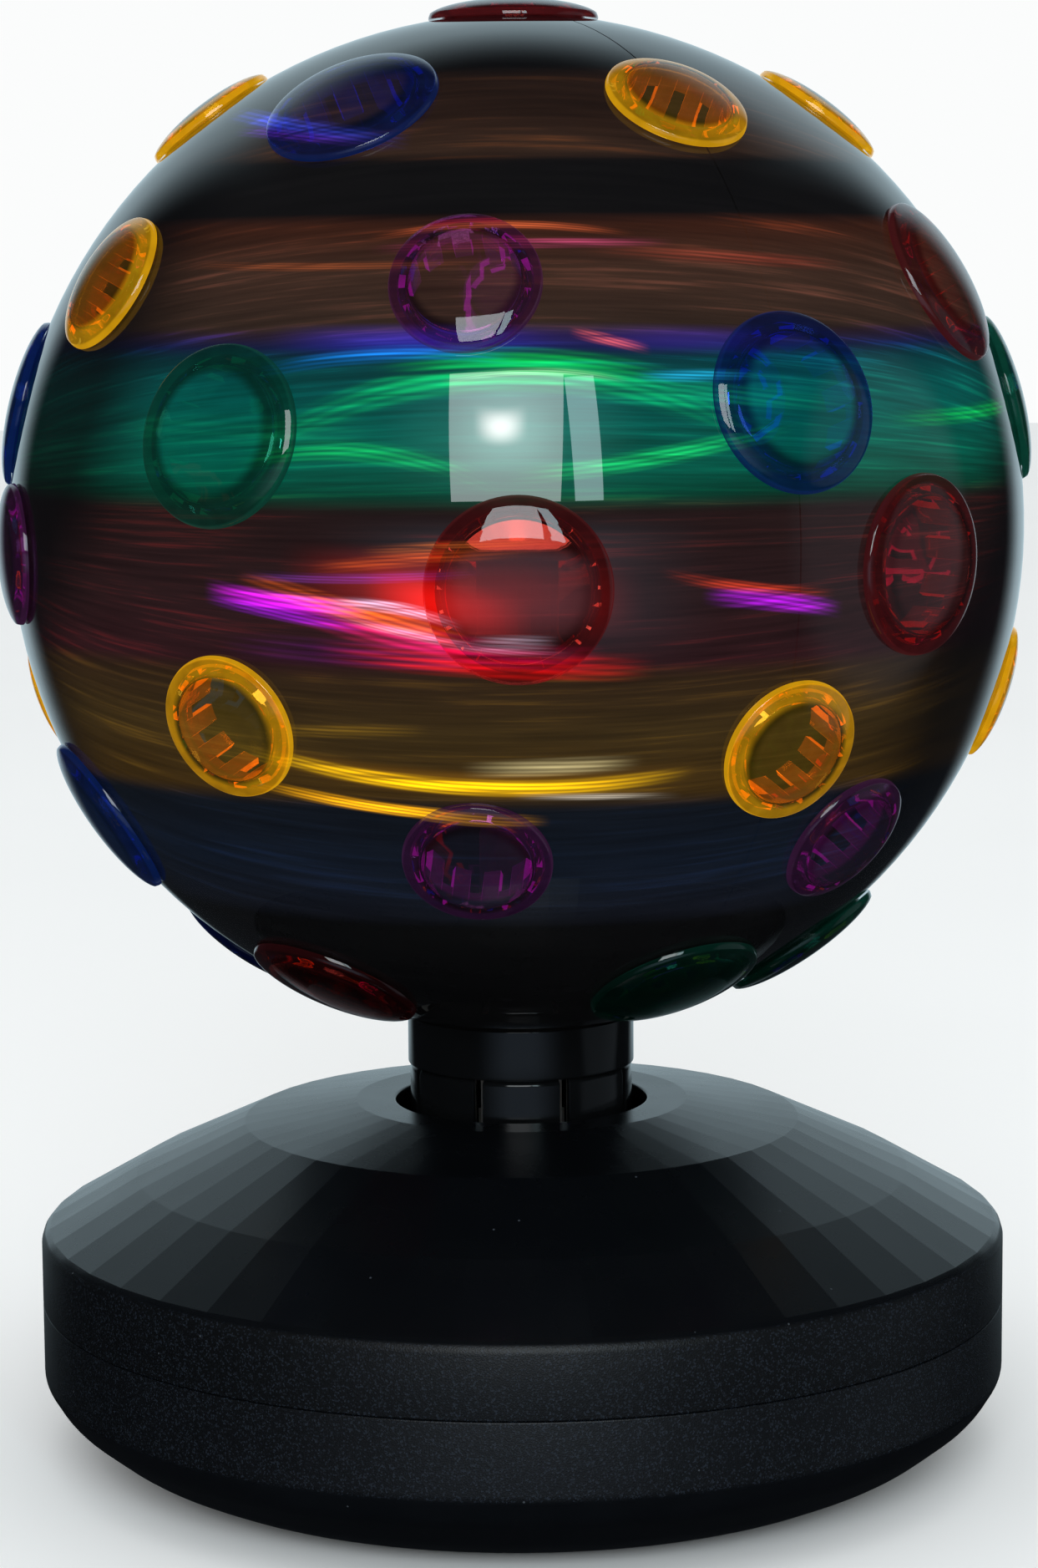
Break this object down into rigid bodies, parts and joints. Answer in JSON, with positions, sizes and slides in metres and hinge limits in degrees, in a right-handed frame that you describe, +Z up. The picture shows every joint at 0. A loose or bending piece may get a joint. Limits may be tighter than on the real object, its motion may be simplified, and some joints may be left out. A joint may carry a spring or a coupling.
{
  "type": "led disco ball lamp",
  "caption": "Rotating LED disco ball lamp: a smoked globe with coloured lens caps, geared to turn above a low faceted black base.",
  "frame": {"origin": "middle of the base's underside, on the plane that the foot ring stands on", "axes": "+Z up along the axis that the ball turns on, -Y towards the front, +X to the right seen from the front"},
  "size_m": [0.2038, 0.2066, 0.2896],
  "materials": {
    "grained_black": "moulded, fine spark-eroded grain",
    "polished_black": "moulded, polished",
    "gloss_black": "moulded, gloss",
    "black_rubber": "matt",
    "white_abs": "moulded, satin",
    "white_board": "solder mask",
    "clear_dome": "moulded, clear",
    "green_board": "solder mask",
    "zinc_steel": "zinc plated",
    "black_nylon": "moulded, satin",
    "natural_nylon": "moulded",
    "smoke_shell": "smoke tinted, polished",
    "white_acetal": "moulded",
    "lens_red": "clear tinted, polished",
    "lens_blue": "clear tinted, polished",
    "lens_green": "clear tinted, polished",
    "lens_amber": "clear tinted, polished",
    "lens_magenta": "clear tinted, polished"
  },
  "bodies": {
    "base": {"base_tray": "grained_black", "base_cover": "polished_black", "foot_ring": "black_rubber", "lamp_post": "white_abs", "led_board": "white_board", "led_cover": "clear_dome", "driver_board": "green_board", "motor": "zinc_steel", "dc_inlet": "black_nylon", "switch_housing": "black_nylon", "thrust_washer": "natural_nylon"},
    "ball": {"globe_half_left": "smoke_shell", "globe_half_right": "smoke_shell", "neck_collar": "gloss_black", "drive_gear": "white_acetal", "lens_cap_top": "lens_red", "lens_cap_a1": "lens_amber", "lens_cap_a2": "lens_amber", "lens_cap_a3": "lens_blue", "lens_cap_a4": "lens_magenta", "lens_cap_a5": "lens_amber", "lens_cap_a6": "lens_blue", "lens_cap_b1": "lens_magenta", "lens_cap_b2": "lens_red", "lens_cap_b3": "lens_amber", "lens_cap_b4": "lens_magenta", "lens_cap_b5": "lens_red", "lens_cap_b6": "lens_amber", "lens_cap_c1": "lens_blue", "lens_cap_c2": "lens_green", "lens_cap_c3": "lens_blue", "lens_cap_c4": "lens_green", "lens_cap_c5": "lens_blue", "lens_cap_c6": "lens_green", "lens_cap_d1": "lens_red", "lens_cap_d2": "lens_red", "lens_cap_d3": "lens_magenta", "lens_cap_d4": "lens_red", "lens_cap_d5": "lens_red", "lens_cap_d6": "lens_magenta", "lens_cap_e1": "lens_amber", "lens_cap_e2": "lens_amber", "lens_cap_e3": "lens_amber", "lens_cap_e4": "lens_amber", "lens_cap_e5": "lens_amber", "lens_cap_e6": "lens_amber", "lens_cap_f1": "lens_magenta", "lens_cap_f2": "lens_magenta", "lens_cap_f3": "lens_blue", "lens_cap_f4": "lens_magenta", "lens_cap_f5": "lens_blue", "lens_cap_f6": "lens_blue", "lens_cap_g1": "lens_green", "lens_cap_g2": "lens_green", "lens_cap_g3": "lens_blue", "lens_cap_g4": "lens_red", "lens_cap_g5": "lens_blue", "lens_cap_g6": "lens_red"},
    "pinion": {"motor_pinion": "white_acetal"},
    "rocker": {"power_switch": "black_nylon"}
  },
  "joints": [
    {"name": "ball_spin", "type": "hinge", "parent": "base", "child": "ball", "pos_m": [0, 0, 0.18617], "axis": [0, 0, 1], "continuous": true},
    {"name": "pinion_spin", "type": "hinge", "parent": "base", "child": "pinion", "pos_m": [0.0384, 0, 0.0212], "axis": [0, 0, 1], "continuous": true},
    {"name": "switch_rock", "type": "hinge", "parent": "base", "child": "rocker", "pos_m": [-0.03933, 0.08833, 0.0246], "axis": [0, 0, 1], "range_deg": [0, 16]}
  ],
  "couplings": [
    {"joint": "pinion_spin", "follows": "ball_spin", "ratio": -3}
  ]
}
